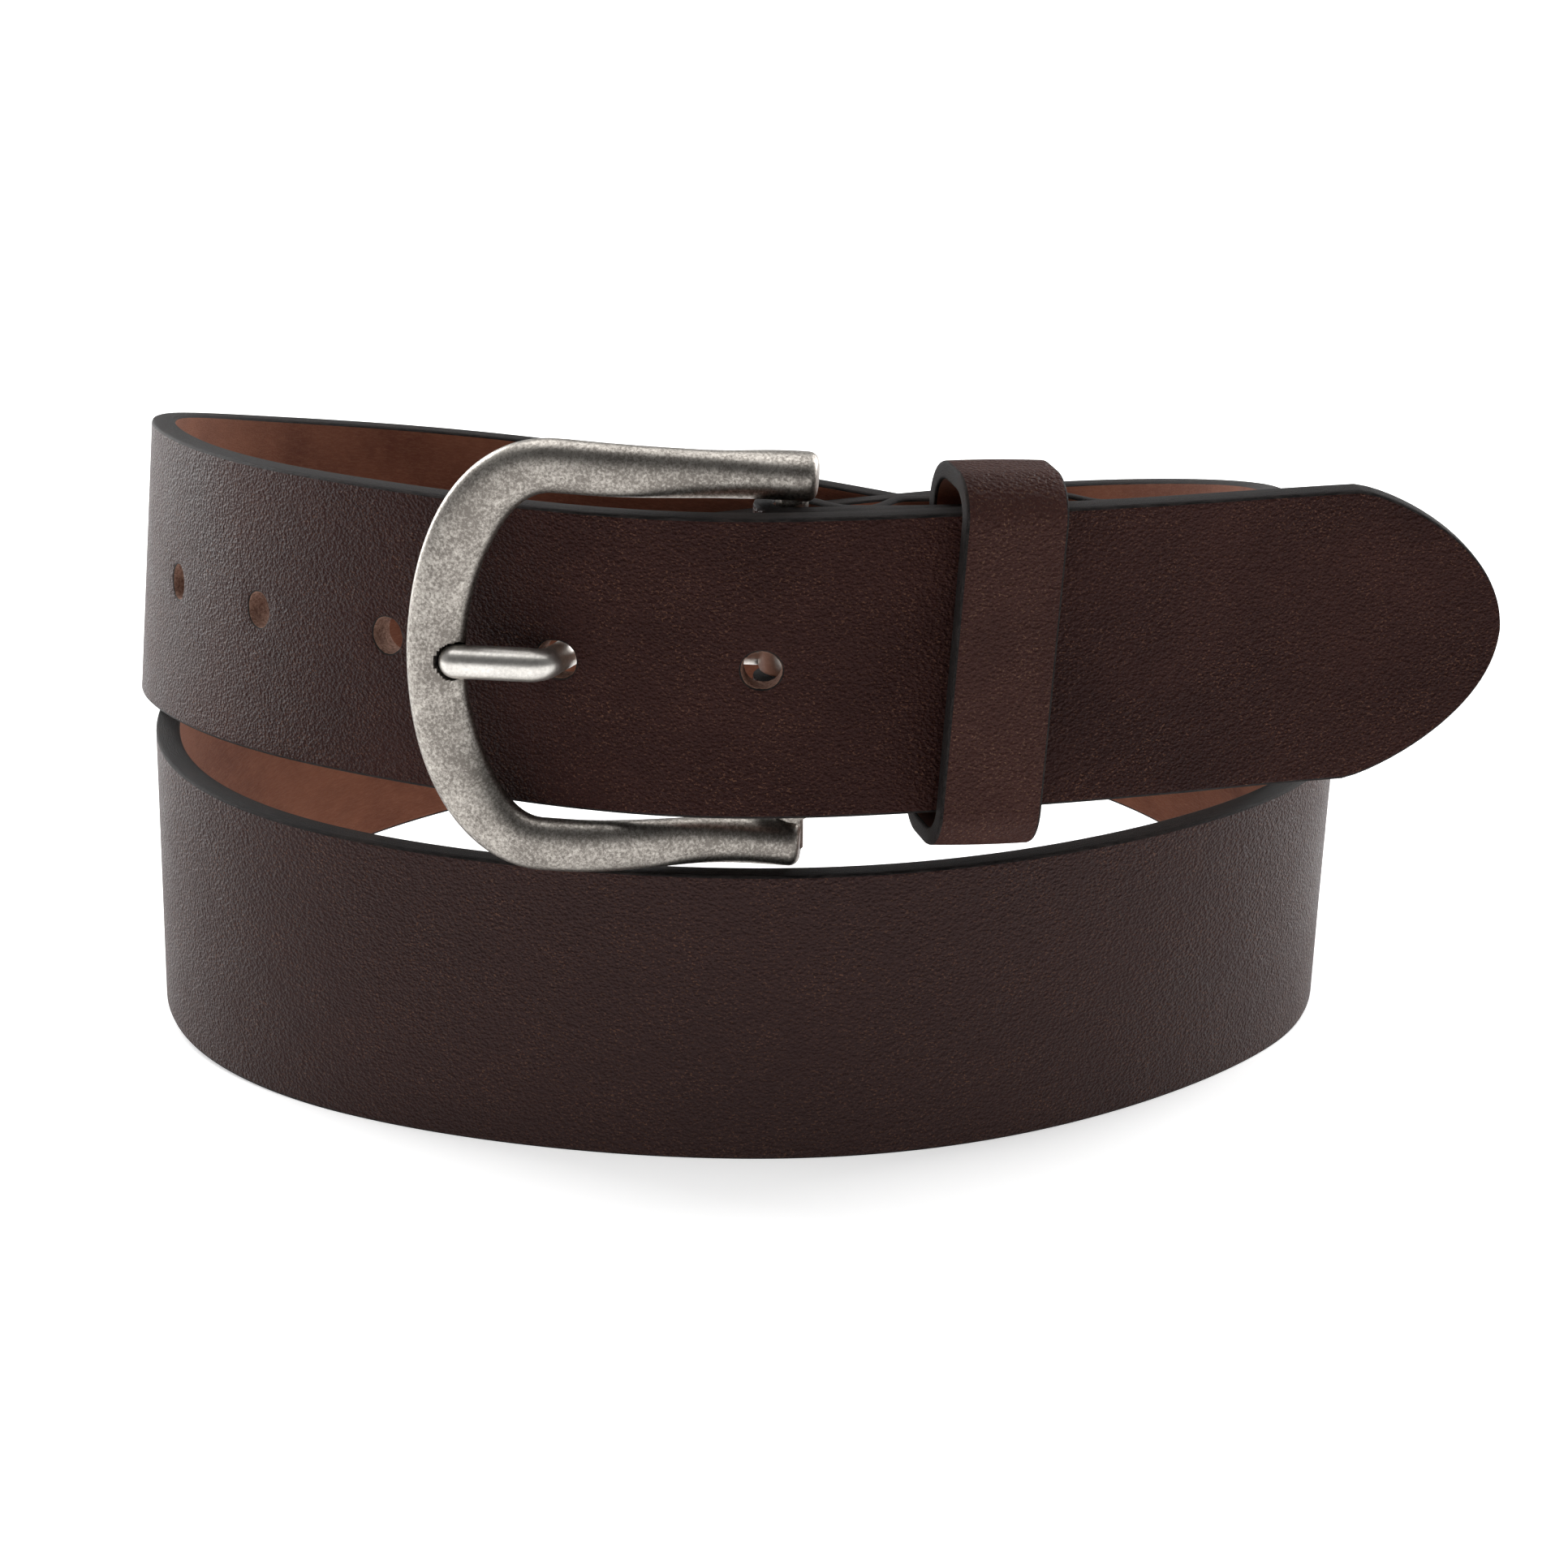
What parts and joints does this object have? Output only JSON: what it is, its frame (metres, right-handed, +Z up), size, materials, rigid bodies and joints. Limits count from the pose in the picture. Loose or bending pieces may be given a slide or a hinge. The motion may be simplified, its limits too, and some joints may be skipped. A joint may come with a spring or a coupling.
{
  "type": "leather belt",
  "caption": "Leather waist belt with punched strap, pointed tip, turned-back buckle end, D-shaped heel-bar buckle, prong and sliding keeper, buckled and coiled into two turns.",
  "frame": {"origin": "on the surface the belt stands on, under the centre of its bounding box", "axes": "+Z up along the coil's axis, the buckle's face looks towards -Y, the pointed tip points towards +X"},
  "size_m": [0.1788, 0.1495, 0.0931],
  "materials": {
    "strap_leather": "satin",
    "flesh_side": "matte",
    "keeper_leather": "satin",
    "buckle_metal": "satin",
    "thread": "matte"
  },
  "bodies": {
    "belt": {"strap_buckle_end": "strap_leather", "strap_upper_curl": "strap_leather", "strap_inner_back": "strap_leather", "strap_lower_left": "strap_leather", "strap_lower_front": "strap_leather", "strap_lower_right": "strap_leather", "strap_outer_back": "strap_leather", "strap_upper_left": "strap_leather", "strap_hole_1": "strap_leather", "strap_hole_2": "strap_leather", "strap_hole_3": "strap_leather", "strap_prong_hole": "strap_leather", "strap_hole_5": "strap_leather", "strap_under_keeper": "strap_leather", "strap_fold": "strap_leather", "turn_back": "flesh_side", "bar_side_stitching": "thread", "tab_end_stitching": "thread"},
    "tip": {"strap_tip": "strap_leather"},
    "buckle": {"buckle_frame": "buckle_metal", "heel_bar": "buckle_metal"},
    "prong": {"prong": "buckle_metal"},
    "keeper": {"keeper_loop": "keeper_leather", "keeper_staple": "buckle_metal"}
  },
  "joints": [
    {"name": "frame_swing", "type": "hinge", "parent": "belt", "child": "buckle", "pos_m": [0.00093, -0.06219, 0.06563], "axis": [0.0026, -0.0697, 0.9976], "range_deg": [0, 1.5]},
    {"name": "prong_lift", "type": "hinge", "parent": "buckle", "child": "prong", "pos_m": [0.00093, -0.06219, 0.06563], "axis": [0.0026, -0.0697, 0.9976], "range_deg": [0, 1.5]},
    {"name": "keeper_slide", "type": "slide", "parent": "belt", "child": "keeper", "axis": [0.9608, 0.2773, 0], "range_m": [-0.0012, 0.0012]},
    {"name": "tip_flex", "type": "hinge", "parent": "belt", "child": "tip", "pos_m": [0.03605, -0.06278, 0.06556], "axis": [-0.0301, 0.0848, -0.9959], "range_deg": [0, 25], "stiffness_Nm_per_rad": 0.02}
  ]
}
